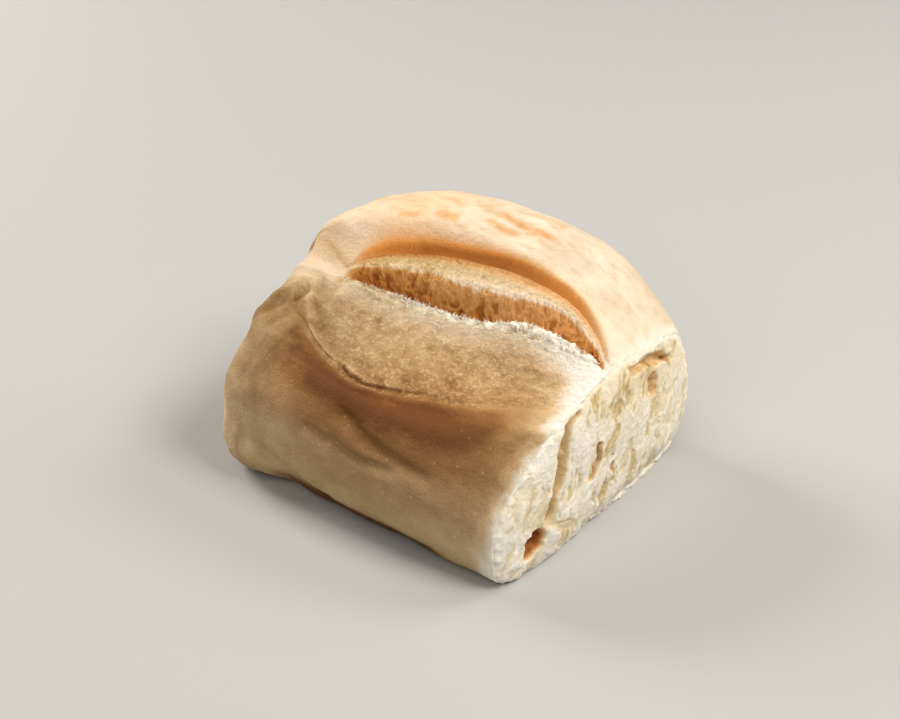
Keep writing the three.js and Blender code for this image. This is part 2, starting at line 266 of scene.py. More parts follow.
# Patterns of noise: how strong they are, how the points are stretched and shifted before, the size
# in mm, the number of octaves and their gain.
EVEN = (1, 1, 1)
PATTERNS = {
    # Relief of the crust, in mm.
    "slow lumps": (0.5, EVEN, 0, 17, 2, 0.5),
    "end lumps": (0.7, EVEN, 11, 10, 2, 0.5),
    "wrinkles": (0.09, (1, 1, 0.5), 0, 2.6, 4, 0.55),
    "end wrinkles": (0.13, (1, 1, 0.14), 0, 1.5, 2, 0.5),
    "flap grain": (0.2, (0.4, 1, 1), 0, 1.8, 3, 0.6),
    "torn rim": (0.35, EVEN, 0, 3, 4, 0.65),
    # Browning of the crust, and how far the crack and the white of the torn end wander.
    "crown streaks": (1, (0.3, 1, 1), 70, 2.4, 3, 0.7),
    "crown patches": (0.09, (0.6, 1, 1), 90, 5.5, 3, 0.5),
    "crown stain edges": (0.8, (0.4, 1, 1), 12, 2.2, 3, 0.5),
    "front stain edges": (0.35, (0.4, 1, 1), 12, 3, 3, 0.5),
    "flap patches": (0.13, EVEN, 61, 3.2, 2, 0.5),
    "end mottling": (0.13, (1, 1, 0.5), 81, 4, 3, 0.5),
    "slow patches": (0.07, EVEN, 23, 14, 2, 0.5),
    "crack wander": (0.05, (1, 0, 0), 0, 9, 4, 0.6),
    "white wander": (0.025, EVEN, 0, 5, 4, 0.6),
    # The crumb in the slash.
    "tufts": (1.1, EVEN, 0, 2.6, 4, 0.5),
    "fine tufts": (0.2, EVEN, 3, 0.7, 2, 0.6),
    "tufts come and go": (1, (1, 0, 0), 2, 6.5, 1, 0.5),
    "uneven wall": (0.2, EVEN, 0, 1.8, 3, 0.6),
    "uneven shelf": (0.22, EVEN, 0, 2.2, 3, 0.6),
    "ragged wall top": (1, (1, 0.3, 0.3), 80, 2.2, 4, 0.7),
    "slash white wander": (0.05, EVEN, 44, 5, 3, 0.5),
    "white edge": (1, EVEN, 44, 2.4, 3, 0.6),
    # The torn face.
    "broad swellings": (0.5, EVEN, 0, 15, 2, 0.5),
    "swellings": (0.4, (1, 1, 0.55), 7, 4.5, 3, 0.5),
    "openings": (1, (1, 1, 0.42), 90, 3.6, 4, 0.6),
    "clumps": (0.12, (1, 1, 0.75), 0, 1.5, 3, 0.65),
    "openings come and go": (1, EVEN, 15, 9, 2, 0.5),
    "inside of pockets": (1, EVEN, 0, 1.6, 3, 0.6),
    "pocket edges": (0.9, EVEN, 0, 5, 1, 0.5),
    "fine pocket edges": (0.5, EVEN, 30, 2.2, 1, 0.5),
    "ragged lap": (0.5, EVEN, 33, 2.4, 4, 0.65),
}


def lattice(corner):
    """A number from 0 to 255 for each whole lattice corner, from a shuffled table."""
    i, j, k = (corner[..., axis] & 255 for axis in range(3))
    return SHUFFLE[SHUFFLE[SHUFFLE[i] + j] + k]


def noise(points, scale):
    """Gradient noise, about -1 to 1: corner slopes blended by the fifth-order ease curve."""
    p = points / scale
    corner = np.floor(p).astype(int)
    f = p - corner
    blend = f ** 3 * (f * (f * 6 - 15) + 10)
    total = 0
    for step in np.ndindex(2, 2, 2):
        step = np.array(step)
        weight = np.prod(np.where(step == 1, blend, 1 - blend), axis=-1)
        total = total + weight * np.einsum("...i,...i", GRADIENTS[lattice(corner + step)], f - step)
    return total * NOISE_GAIN


def rough(points, scale, octaves=3, gain=0.5):
    """Noise at a scale and its halves, each octave weaker by the gain."""
    total = 0
    for octave in range(octaves):
        shifted = points + OCTAVE_SHIFT * octave
        total = total + noise(shifted, scale / 2 ** octave) * gain ** octave
    return total


def pattern(points, name):
    """Rough noise by a named recipe: on the points times its stretch plus its shift."""
    strength, stretch, shift, *recipe = PATTERNS[name]
    return rough(points * stretch + shift, *recipe) * strength


def cells(points, scale):
    """Distances to the nearest and second nearest scattered point, and a number for the cell."""
    p = points / scale
    corner = np.floor(p).astype(int)
    nearest = np.full(p.shape[:-1], 9.0)
    second = np.full(p.shape[:-1], 9.0)
    mark = np.zeros(p.shape[:-1])
    for step in np.ndindex(3, 3, 3):
        number = lattice(corner + np.array(step) - 1)
        distance = np.linalg.norm(corner + np.array(step) - 1 + CELL_POINTS[number] - p, axis=-1)
        closer = distance < nearest
        second = np.where(closer, nearest, np.minimum(second, distance))
        mark = np.where(closer, number / 255, mark)
        nearest = np.where(closer, distance, nearest)
    return nearest, second, mark


def from_line(a, b, line):
    """Distance of the points (a, b) from an open line of corners, and the share along it."""
    best = np.full(np.shape(a), 1e9)
    share = np.zeros(np.shape(a))
    line = np.array(line, float)
    for index, (start, end) in enumerate(zip(line[:-1], line[1:])):
        run = end - start
        t = np.clip(((a - start[0]) * run[0] + (b - start[1]) * run[1]) / (run @ run), 0, 1)
        distance = np.hypot(a - start[0] - t * run[0], b - start[1] - t * run[1])
        share = np.where(distance < best, (index + t) / (len(line) - 1), share)
        best = np.minimum(best, distance)
    return best, share


def field(table, s, v):
    """Values given at named section points, one or three stations each, eased round and along."""
    stations = np.array([np.broadcast_to(table.get(name, 0), 3) for name in NAMES], float)
    return along(s, round_blend(stations, v).T, 2)


def unit(vectors):
    """Vectors at length 1."""
    return vectors / np.maximum(np.linalg.norm(vectors, axis=-1, keepdims=True), 1e-9)


def normals_of(points, wrap):
    """Unit normals of a grid of points, from the cross product of its two directions."""
    ahead = np.gradient(points, axis=0)
    if wrap:
        around = (np.roll(points, -1, axis=1) - np.roll(points, 1, axis=1)) / 2
    else:
        around = np.gradient(points, axis=1)
    return unit(np.cross(ahead, around))


# ---- Meshes ----


def new_piece(name, points, quads, triangles, fields, material):
    """A mesh object from points in mm, faces and named vertex values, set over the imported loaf."""
    mesh = bpy.data.meshes.new(name)
    place = np.append(((LOAF_LOW + LOAF_HIGH) / 2)[:2], LOAF_LOW[2])
    mesh.vertices.add(len(points))
    mesh.vertices.foreach_set("co", ((points + place) * MM).ravel())
    corners = np.concatenate([quads.ravel(), triangles.ravel()])
    sizes = np.concatenate([np.full(len(quads), 4), np.full(len(triangles), 3)])
    mesh.loops.add(len(corners))
    mesh.loops.foreach_set("vertex_index", corners)
    mesh.polygons.add(len(sizes))
    mesh.polygons.foreach_set("loop_start", np.concatenate([[0], np.cumsum(sizes)[:-1]]))
    mesh.polygons.foreach_set("use_smooth", np.ones(len(sizes), bool))
    for key, values in fields.items():
        attribute = mesh.attributes.new(key, "FLOAT", "POINT")
        attribute.data.foreach_set("value", np.asarray(values, np.float32).ravel())
    mesh.update(calc_edges=True)
    mesh.validate()
    mesh.materials.append(material)
    piece = bpy.data.objects.new(name, mesh)
    bpy.context.scene.collection.objects.link(piece)
    return piece


def ring_faces(count, around):
    """Quads between rings of points, and triangles to a point before them and to one after."""
    index = 1 + np.arange(count * around).reshape(count, around)
    ahead = np.roll(index, -1, axis=1)
    quads = np.stack([index[:-1], index[1:], ahead[1:], ahead[:-1]], -1).reshape(-1, 4)
    start = np.stack([np.zeros(around, int), index[0], ahead[0]], -1)
    end = np.stack([index[-1], np.full(around, count * around + 1), ahead[-1]], -1)
    return quads, np.concatenate([start, end])


def ringed_piece(name, rings, first, last, grids, material):
    """A piece of rings, each end drawn together in one point, with a grid of values per name."""
    points = np.concatenate([first[None], rings.reshape(-1, 3), last[None]])
    fields = {key: np.concatenate([[grid[0].mean()], grid.ravel(), [grid[-1].mean()]])
              for key, grid in grids.items()}
    return new_piece(name, points, *ring_faces(*rings.shape[:2]), fields, material)


def closing_rings(rim, shares, depth):
    """Rings that close a rim from behind: drawn towards the end's middle to each share, and set
    back by up to the depth in mm, in full from an eighth of the way in."""
    rings = []
    for share in shares:
        ring = END_MIDDLE + (rim - END_MIDDLE) * share
        ring[:, 0] = rim[:, 0] - depth * min(1, (1 - share) * 8)
        rings.append(ring)
    return np.array(rings)


def end_point(x):
    """The point that closes a piece's end at x."""
    return np.array([x, 0, END_MIDDLE[2]])


# ---- Materials ----


class Wire:
    """A socket in a material's tree. Arithmetic on it adds Math nodes, node() adds any other."""

    def __init__(self, tree, socket=None):
        """Without a socket it only adds nodes."""
        self.tree = tree
        self.socket = socket

    def node(self, kind, settings=None, inputs=None, output=0):
        """Adds a node: its settings first, a ramp's stops among them, then its sockets."""
        made = self.tree.nodes.new("ShaderNode" + kind)
        for key, value in (settings or {}).items():
            if key == "stops":
                ramp = made.color_ramp
                while len(ramp.elements) < len(value):
                    ramp.elements.new(1)
                for element, (place, colour) in zip(ramp.elements, value):
                    element.position = place
                    element.color = (*colour, 1)
            else:
                setattr(made, key, value)
        for key, value in (inputs or {}).items():
            if isinstance(value, Wire):
                self.tree.links.new(value.socket, made.inputs[key])
            else:
                made.inputs[key].default_value = value
        return Wire(self.tree, made.outputs[output])

    def math(self, operation, first, second):
        """One Math node on two values or wires."""
        return self.node("Math", {"operation": operation}, {0: first, 1: second})

    def __add__(self, other):
        return self.math("ADD", self, other)

    def __sub__(self, other):
        return self.math("SUBTRACT", self, other)

    def __rsub__(self, other):
        return self.math("SUBTRACT", other, self)

    def __mul__(self, other):
        return self.math("MULTIPLY", self, other)

    __radd__ = __add__
    __rmul__ = __mul__

    def clamped(self):
        """This value held between 0 and 1."""
        return self.node("Math", {"operation": "ADD", "use_clamp": True}, {0: self, 1: 0.0})

    def between(self, low, high):
        """0 below low and 1 above high, smooth between."""
        settings = {"interpolation_type": "SMOOTHSTEP"}
        return self.node("MapRange", settings, {"Value": self, "From Min": low, "From Max": high})

    def blend(self, first, second):
        """The colour first where this value is 0, second where it is 1."""
        return self.node("Mix", {"data_type": "RGBA"}, {0: self, 6: first, 7: second}, 2)

    def tinted(self, tint):
        """This colour multiplied by another."""
        settings = {"data_type": "RGBA", "blend_type": "MULTIPLY"}
        return self.node("Mix", settings, {0: 1.0, 6: self, 7: tint}, 2)

    def feeds(self, shader, name):
        """Links this wire to a shader's socket."""
        self.tree.links.new(self.socket, shader.inputs[name])

    def value(self, name):
        """A named vertex value of the piece."""
        return self.node("Attribute", {"attribute_name": name}, output=2)

    def grain(self, scale_mm, detail=2.0, roughness=0.5, stretch=(1, 1, 1)):
        """Noise from 0 to 1 on Object coordinates, its size in mm, squeezed by the stretch."""
        place = self.node("TexCoord", output=3)
        place = self.node("Mapping", {}, {"Vector": place, "Scale": stretch})
        inputs = {"Vector": place, "Scale": 1 / (scale_mm * MM)}
        inputs.update({"Detail": detail, "Roughness": roughness})
        return self.node("TexNoise", {"normalize": True}, inputs)

    def dots(self, scale_mm):
        """Distance from the nearest scattered point on Object coordinates, spaced scale_mm."""
        place = self.node("TexCoord", output=3)
        return self.node("TexVoronoi", {}, {"Vector": place, "Scale": 1 / (scale_mm * MM)})


# The crust's colours from unbaked to dark, and the crumb's from its pale surface to the painted
# shade of its hollows.
CRUST_STOPS = [
    (0.0, (0.8, 0.705, 0.555)),
    (0.2, (0.67, 0.53, 0.35)),
    (0.4, (0.56, 0.4, 0.215)),
    (0.6, (0.41, 0.262, 0.122)),
    (0.8, (0.25, 0.135, 0.045)),
    (1.0, (0.13, 0.055, 0.012)),
]
CRUMB_STOPS = [
    (0.0, (0.84, 0.8, 0.71)),
    (0.3, (0.77, 0.665, 0.47)),
    (0.6, (0.58, 0.44, 0.215)),
    (0.8, (0.45, 0.28, 0.1)),
    (1.0, (0.28, 0.13, 0.035)),
]
WARM_TINT = (1.32, 0.7, 0.27, 1)
WHITE = (1, 1, 1, 1)
# Fine patterns of the bread: their size in mm, their detail, their roughness and their stretch.
GRAINS = {
    "fine": (0.45, 3.0, 0.6),
    "pores": (0.9, 2.0),
    "crumbs": (0.9, 2.0, 0.6),
    "streak": (2.2, 3.0, 0.6, (0.25, 1, 1)),
    "patch": (4.0, 3.0, 0.55),
    "blotch": (6.0, 1.0),
}
# How much they vary how browned the bread is, how much painted shade its hollows get and how torn it
# is.
BAKE_GRAINS = {"patch": 0.18, "fine": 0.2, "streak": 0.14}
HOLLOW_SHADE_GRAINS = {"patch": 0.16}
TORN_GRAINS = {"fine": 0.3, "patch": 0.3}
# Pale specks, their spacing in mm, and how much paler than the crust they and the crumbs on the flap
# are; the crumbs are partly pale of their own and partly a painted highlight on their raised tops.
SPECK_SPACING = 2.2
SPECK_PALER = 0.2
CRUMBS_PALE_AND_HIGHLIGHT = 0.22
BASE_ROUGHNESS = 0.62
BUMP_HEIGHT = 0.35
SPECULAR = 0.2


def varied(value, grains, weights):
    """A value with grains added to it, each about its middle and by its own weight."""
    for name, weight in weights.items():
        value = value + (grains[name] - 0.5) * weight
    return value


def bread(name, bump):
    """Crust by how browned it is, over to crumb where torn, darker in its hollows by painted shade,
    and warmer by its warm value.
    """
    material = bpy.data.materials.new(name)
    material.use_nodes = True
    tree = material.node_tree
    shader = tree.nodes["Principled BSDF"]
    w = Wire(tree)
    grains = {key: w.grain(*recipe) for key, recipe in GRAINS.items()}
    fine, pebbly = grains["fine"], w.value("grain")
    speck = 1 - w.dots(SPECK_SPACING).between(0.05, 0.17)
    speck = speck * grains["blotch"].between(0.42, 0.6)
    crumbs = grains["crumbs"].between(0.47, 0.66) * pebbly
    bake = varied(w.value("bake"), grains, BAKE_GRAINS)
    # The raised crumbs are paler: partly their own colour, partly a painted highlight.
    bake = bake - speck * SPECK_PALER - crumbs * CRUMBS_PALE_AND_HIGHLIGHT + pebbly * 0.05
    crust = w.node("ValToRGB", {"stops": CRUST_STOPS}, {"Fac": bake.clamped()})
    # The crumb's painted shade: its hollows' value, a little more on the flap's pebbly part and less
    # on the raised crumbs.
    depth = varied(w.value("depth"), grains, HOLLOW_SHADE_GRAINS) + (pebbly * 0.35 - crumbs) * 0.18
    crumb = w.node("ValToRGB", {"stops": CRUMB_STOPS}, {"Fac": depth.clamped()})
    torn = varied(w.value("torn") * 1.15, grains, TORN_GRAINS) - 0.07
    tint = w.value("warm").clamped().blend(WHITE, WARM_TINT)
    torn.clamped().blend(crust, crumb).tinted(tint).feeds(shader, "Base Color")
    (BASE_ROUGHNESS + fine * 0.25).feeds(shader, "Roughness")
    height = fine * 0.4 + grains["pores"] * 0.7 + speck * 0.2 + crumbs * 0.5
    bumps = {"Strength": bump, "Distance": BUMP_HEIGHT * MM, "Height": height}
    w.node("Bump", {}, bumps).feeds(shader, "Normal")
    shader.inputs["Specular IOR Level"].default_value = SPECULAR
    return material


# ---- The skin: crust, flap and the inside of the slash ----

SKIN_COLUMNS = 366
LEFT_RINGS = 34
RIM_RINGS = 8
RIM_STEPS = 30
# How far the torn rim is tucked in, and the recess behind it, in mm.
RIM_TUCK = 1.4
RECESS_DEPTH = 9.0
RECESS_SHARES = (0.97, 0.9, 0.6, 0.25)

# How many rows each stretch of the section gets, from each named point to the next.
ROWS = {
    "base middle": 3, "base front": 3, "foot front": 6, "wall low": 11, "wall middle": 13,
    "wall high": 11, "brow": 12, "fold crest": 14, "fold": 10, "fold back": 30, "flap middle": 30,
    "flap edge": 5, "flap lip": 2, "valley": 2, "wall foot": 2, "wall top": 2, "shelf": 4,
    "ear under": 10, "ear": 16, "crown front": 12, "crown": 12, "shoulder": 9, "rear high": 7,
    "rear wall": 6, "rear low": 4, "foot rear": 3, "base rear": 3,
}
# The rows crowd towards the start of these stretches, by this power.
CROWDED = {"fold back": 1.6}
# Where the skin stays under the slash's own crumb, and how far under, in mm.
COVERED = {"flap lip": 1, "valley": 1, "wall foot": 1, "wall top": 1, "shelf": 0.8}
COVER_DEPTH = 2.0

# How browned, warm and torn the skin is at the section's points, how much painted shade it gets
# inside the slash, and where the flap opened: one value, or one each at the closed end, the middle
# and the torn end.
BAKE = {
    "base middle": 0.8, "base front": 0.7, "foot front": (0.35, 0.6, 0.35),
    "wall low": (0.28, 0.48, 0.32), "wall middle": (0.15, 0.64, 0.52),
    "wall high": (0.35, 0.8, 0.7), "brow": (0.5, 0.88, 0.68), "fold crest": (0.5, 0.86, 0.5),
    "fold": (0.5, 0.82, 0.44), "fold back": (0.6, 0.74, 0.5),
    "flap middle": (0.42, 0.55, 0.44), "flap edge": (0.25, 0.42, 0.3), "flap lip": 0.2,
    "valley": 0.2, "wall foot": 0.2, "wall top": 0.2, "shelf": 0.2,
    # Under the ear the browning is partly painted shade in its crease; the ear's and the crown's
    # lowest values, palest at the middle and the torn end, are partly pale crust and partly a
    # painted highlight.
    "ear under": (0.2, 0.54, 0.2), "ear": (0.14, 0.1, -0.08), "crown front": (0.1, 0.04, 0.06),
    "crown": (0.14, 0.05, 0.08), "shoulder": (0.16, 0.12, 0.12), "rear high": 0.3,
    "rear wall": 0.5, "rear low": 0.5, "foot rear": 0.6, "base rear": 0.7,
}
WARM = {
    "wall high": (0, 0.2, 0), "brow": (0, 0.5, 0), "fold crest": (0, 0.5, 0.1),
    "fold": (0, 0.4, 0.1), "fold back": (-0.4, 0.18, 0.16), "flap middle": (-0.4, 0.14, 0.12),
    "ear under": (0.3, 1.1, 1), "ear": (0.3, 0.45, 0.2), "crown front": (0.3, 0.1, 0.1),
    "crown": (0.4, 0.05, 0.05),
}
TORN = {
    "flap edge": (0.2, 0.25, 0.3), "flap lip": (0.3, 1, 1), "valley": (0.3, 1, 1),
    "wall foot": (0.2, 1, 1), "wall top": (0.2, 1, 1), "shelf": (0.2, 0.9, 0.9),
    "ear under": (0, 0.1, 0.1),
}
SKIN_HOLLOW_SHADE = {
    "flap lip": (0, 0.15, 0.1), "valley": (0.2, 0.8, 0.9), "wall foot": (0.2, 0.75, 0.9),
    "wall top": (0.1, 0.3, 0.4), "shelf": (0, 0.12, 0.1), "ear under": (0, 0.3, 0.2),
}
PLATEAU = {"fold back": (0, 1, 0.8), "flap middle": (0.4, 1, 0.8), "flap edge": (0.4, 1, 0.6)}
# Lines pressed into or raised out of the skin: their corners, how wide and how deep, in mm. On the
# front wall the corners are (x, z), on top they are (x, y). The depth of raised ones is below zero.
FRONT_MARKS = (
    (((-4, 29), (1.4, 27.2), (5.1, 26.2), (10.9, 24.4), (15.8, 23.2), (22, 22.4)), 1.4, 1.5),
    (((-12, 23), (-4, 22.5), (1.6, 21.3), (6.6, 21.2), (13, 21.4)), 1.2, 1.3),
    (((-4, 26), (4, 23.6), (12, 22.6)), 1.3, -0.35),
    (((-30, 14), (-24.8, 10.8), (-18.6, 8.5), (-10.2, 6.0), (-4.2, 4.2)), 1.7, 1.3),
    (((-37, 8), (-29, 5)), 7, -1.6),
    (((-23, 1), (-19, 6)), 4, 1.4),
    (((-20, 4.5), (0, 4.2), (24, 4)), 1.3, 0.5),
    (((-40, 22), (-34, 12)), 9, -0.7),
    (((-6, 13), (26, 12)), 12, -0.8),
)
TOP_MARKS = (
    (((-32.5, -12), (-31, -16), (-27, -20.5), (-23, -22.6), (-17, -25), (-12.5, -27)), 1.0, -0.8),
    (((-30, -11.5), (-27.5, -16), (-23, -20.5)), 1.5, 0.4),
    (((-25.3, -12.8), (-25.2, -7.8), (-21.7, -3.4)), 1.1, -0.6),
    (((-22.5, -12), (-20, -8.5), (-15, -7)), 1.2, 0.35),
    (((4.5, -10.5), (6.8, -15.5), (11, -19), (17, -22), (23, -25.5)), 0.6, -0.2),
    (((6.2, -10.5), (8.8, -15.5), (13, -18.6)), 0.8, 0.15),
    (((16.5, -15), (17.5, -21)), 0.5, -0.3),
    (((-13.6, -11.9), (-13, -11.2)), 0.9, 0.9),
    (((-10.3, -6), (-9.3, -5.6)), 0.9, 1.0),
    (((-20.9, -12.5), (-19.9, -12.1)), 0.8, 0.6),
)
# Rolls and valleys of the closed end, as lines of (x, y) over it: where the slash runs out.
END_MARKS = (
    (((-33.5, -10.5), (-36.5, -14.5), (-39.5, -19.5)), 2.2, -1.0),
    (((-31, -12), (-33.7, -15.3), (-36, -19.5), (-38.5, -25)), 1.1, 0.9),
    (((-29.5, -9.5), (-33, -7.8), (-36.5, -8.6), (-41, -8.9)), 1.2, -0.8),
)
# How much further the white of the torn end reaches here, as a share of the half length.
WHITE_REACH = {
    "foot front": 0.06, "wall low": 0.03, "fold crest": 0.04, "fold": 0.04, "fold back": 0.05,
    "flap middle": 0.09, "flap edge": 0.3, "flap lip": 0.3,
}
# The pale line of the slash between its mouth and the closed end.
RUN_OUT = {
    "flap edge": 0.4, "flap lip": 0.9, "valley": 1, "wall foot": 1, "wall top": 0.8, "shelf": 0.3,
}
RUN_OUT_BAKE = 0.14
# The crease at the foot of the flap: its ends along the loaf, its place round the section, how wide
# (in section points), how deep and how much painted shade it gets, and the lip that stands up behind
# it, with a painted highlight on it.
CRACK_SPAN = (-0.32, 0.36)
CRACK_PLACE = at("fold back") + 0.07
CRACK_WIDTH = 0.024
CRACK_DEPTH = 0.75
CRACK_PAINTED_SHADE = 0.25
LIP_PLACE = 0.1
LIP_WIDTH = 0.09
LIP_RISE = 0.45
LIP_PAINTED_HIGHLIGHT = 0.15
# Rounded grains of crumb on the flap: their spacing in mm, their radius as a share of it, how steep
# they are, how far the ground between them is sunk in mm, and how much paler they are.
PEBBLE_SPACING = 1.35
PEBBLE_RADIUS = 0.55
PEBBLE_RISE = 1.3
PEBBLE_SUNK = 0.12
PEBBLE_PALER = 0.2
# How far the ear rolls out, in mm, and where the crown's streaks lie.
EAR_ROLL = {"ear under": (0, -0.1, -0.1), "ear": (0, 0.3, 0.3)}
CROWN_ZONE = {"crown front": (0.3, 1, 0.4), "crown": (0.3, 1, 0.4), "shoulder": (0.2, 0.5, 0.2)}
# Browned places, as lines with their reach in mm and their strength: (x, z) on the front wall, and
# (x, y) on the crown. On the front the two along the dents are painted shade in them, and the low
# one along the foot is partly browned base and partly painted shade near the floor.
FRONT_BROWN = (
    (((-20, 35), (-11, 33), (-3, 31.5), (10, 31)), 3.5, 0.2),
    (((4, 32), (20, 31.5), (34, 32)), 3, 0.2),
    (((-29, 38), (-24, 36.5), (-16, 33.5)), 1.9, 0.22),
    # Painted shade along the two dents.
    (((-9.4, 22.6), (1.6, 21.3), (7, 21.2)), 1.2, 0.08),
    (((0, 27.6), (10.9, 24.4), (19, 22.8)), 1.4, 0.1),
    # Along the foot: partly the base's own browning, partly painted shade near the floor.
    (((-26, 4), (0, 3.4), (30, 3.2)), 2.4, 0.6),
)
CROWN_BROWN = (
    (((-4, 16.6), (8, 16)), 0.9, 0.35),
    (((-4, 21.5), (6.6, 19), (17, 20)), 1.0, 0.4),
    (((-24, 9), (-18, 11.5)), 1.0, 0.25),
    (((-16, 13), (-8, 14)), 1.3, 0.25),
    (((2, 26), (14, 27)), 0.9, 0.25),
)
# How much painted shade a pressed mark gets per mm, a raised one as much paler as a painted
# highlight, and how much the crown's streaks and stains brown.
MARK_PAINTED_SHADE = 0.14
STREAK_BAKE = 0.2
STAIN_BAKE = 0.8
STAIN_WARM = 1.3
CROWN_WARM = 0.18
# The browning that is left at the torn rim.
RIM_BROWNING = 0.25
# The narrow band along the ear's edge, partly browned and partly painted shade under the ear's edge:
# its place and width round the section.
EAR_BAND = (at("ear") - 0.3, 0.36)
EAR_BAND_BROWN_AND_SHADE = 0.26
EAR_BAND_WARM = 0.95
# Scattered blisters: their spacing in mm, their radius as a share of it, the share of the places
# that have one, and their height in mm.
BLISTERS = (3.4, 0.17, 0.45, 0.16)
# Where these set in and where they are full: along X in mm unless the name says otherwise, and by
# shares of the half length at the rim.
ZONES = {
    "end lumps": (-26, -40),
    "end wrinkles": (-24, -36),
    "end mottling": (-18, -34),
    "end mottling along Y": (5, -15),
    "end marks along Z": (30, 36),
    "flap pebbles": (-20, 6),
    "front stains along -Y": (16, 26),
    "warm crown": (0, -20),
    "warm crown along Z": (40, 46),
    "ragged rim": (0.84, 0.95),
    "white rim": (0.87, 0.99),
    "fading": (0.82, 1),
}


def zone(value, name):
    """0 before a named zone and 1 behind it, smooth between."""
    return ease(value, *ZONES[name])


def skin_rows():
    """Where the rows lie round the section, counted in points."""
    return np.concatenate([at(name) + (np.arange(rows) / rows) ** CROWDED.get(name, 1.0)
                           for name, rows in ROWS.items()])


def marks_depth(a, b, marks):
    """How deep the marked lines press a point in, in mm, each with a bell across it."""
    depth = 0
    for line, reach, most in marks:
        distance, share = from_line(a, b, line)
        fade = ease(share, -0.15, 0.12) * ease(share, 1.15, 0.88)
        depth = depth + most * hump(distance, 0, reach) * fade
    return depth


def foam(points, scale):
    """0 on the thin walls between cut bubbles, up to 1 in the bubbles, each of its own depth."""
    nearest, second, mark = cells(points, scale)
    return ease(second - nearest, 0.03, 0.5) * mark ** 1.5


def strands(points, scale, power):
    """Thin connected ridges, 1 on them and towards 0 between: noise folded at 0, to the power."""
    return (1 - np.clip(np.abs(noise(points, scale)) * STRAND_STEEPNESS, 0, 1)) ** power


def crack(points, s, v):
    """How far behind the flap's crease a point is, in section points, and how open that is."""
    start, end = CRACK_SPAN
    opened = ease(s, start, start + 0.1) * ease(s, end, end - 0.55)
    return v[None] - CRACK_PLACE + pattern(points, "crack wander"), opened[:, None]


def pebbles(points):
    """Small rounded grains of the crumb that broke open on the flap."""
    nearest, _, size = cells(points, PEBBLE_SPACING)
    return np.clip(PEBBLE_RADIUS - nearest, 0, 1) * size


def opened_flap(s, v):
    """1 on the flap where the slash has opened it, and 0 elsewhere."""
    return np.clip(field(PLATEAU, s, v), 0, 1) * openness(s, FOLD_SPAN)[:, None]


def grain_zone(x, s, v):
    """How pebbly the flap is: only its opened part, and more towards the torn end."""
    return opened_flap(s, v) * zone(x, "flap pebbles")


def crust_relief(points, s, v):
    """Outward push in mm: slow lumps, wrinkles, the flap's grain, the crack and the ragged rim."""
    x, y, z = points[..., 0], points[..., 1], points[..., 2]
    behind_fold = ease(v[None], at("fold"), at("fold back"))
    relief = pattern(points, "slow lumps") + pattern(points, "end lumps") * zone(x, "end lumps")
    relief = relief + pattern(points, "wrinkles")
    relief = relief + pattern(points, "end wrinkles") * zone(x, "end wrinkles")
    relief = relief - marks_depth(x, y, TOP_MARKS) * behind_fold
    relief = relief - marks_depth(x, y, END_MARKS) * zone(z, "end marks along Z")
    relief = relief + pattern(points, "flap grain") * opened_flap(s, v)
    pebbled = pebbles(points) * PEBBLE_RISE - PEBBLE_SUNK
    relief = relief + pebbled * grain_zone(x, s, v)
    spacing, radius, share, height = BLISTERS
    blister, _, which = cells(points + 40, spacing)
    blistered = np.clip(1 - (blister / radius) ** 2, 0, 1) * (which < share)
    relief = relief + blistered * height
    behind, cracked = crack(points, s, v)
    relief = relief - CRACK_DEPTH * hump(behind, 0, CRACK_WIDTH) * cracked
    relief = relief + LIP_RISE * hump(behind, LIP_PLACE, LIP_WIDTH) * cracked
    relief = relief + field(EAR_ROLL, s, v) * mouth_open(s)
    covered = field(COVERED, s, v) * ease(mouth_open(s), 0.05, 0.35)
    torn = pattern(points, "torn rim") + strands(points, 1.4, 3) * 0.15
    return relief + zone(s[:, None], "ragged rim") * torn - covered * COVER_DEPTH


def stains(a, b, lines, wander):
    """Browned places along lines, their edges ragged by the wander and their ends fading."""
    total = 0
    for line, reach, most in lines:
        distance, share = from_line(a, b, line)
        across = hump(distance + wander * reach, 0, reach)
        total = total + most * across * ease(share, 0, 0.2) * ease(share, 1, 0.8)
    return total


def browning(points, s, v):
    """Extra browning: streaks pulled lengthwise and stains on the crown; stains and mottling on the
    front, with painted shade in pressed marks and a painted highlight on raised ones; slow patches
    all over. Also the crown's stains alone."""
    x, y, z = points[..., 0], points[..., 1], points[..., 2]
    crown = field(CROWN_ZONE, s, v)
    streaks = np.clip(pattern(points, "crown streaks"), 0, 1) * STREAK_BAKE
    streaks = streaks + 0.03 + pattern(points, "crown patches")
    stained = stains(x, y, CROWN_BROWN, pattern(points, "crown stain edges")) * STAIN_BAKE
    front = stains(x, z, FRONT_BROWN, pattern(points, "front stain edges"))
    front = front * zone(-y, "front stains along -Y")
    front = front * ease(v[None], at("fold back") + 0.25, at("fold crest"))
    end_marks = marks_depth(x, y, END_MARKS) * zone(z, "end marks along Z")
    pressed = marks_depth(x, y, TOP_MARKS) + end_marks
    # Painted shade in pressed marks, a painted highlight on raised ones.
    front = front + pressed * MARK_PAINTED_SHADE * ease(v[None], at("fold"), at("fold back"))
    front = front + pattern(points, "flap patches") * np.clip(field(PLATEAU, s, v), 0, 1)
    mottled = pattern(points, "end mottling") + 0.1
    front = front + mottled * zone(x, "end mottling") * zone(y, "end mottling along Y")
    front = front - pebbles(points) * grain_zone(x, s, v) * PEBBLE_PALER
    browned = (streaks + stained) * crown + front + pattern(points, "slow patches")
    return browned, stained * crown


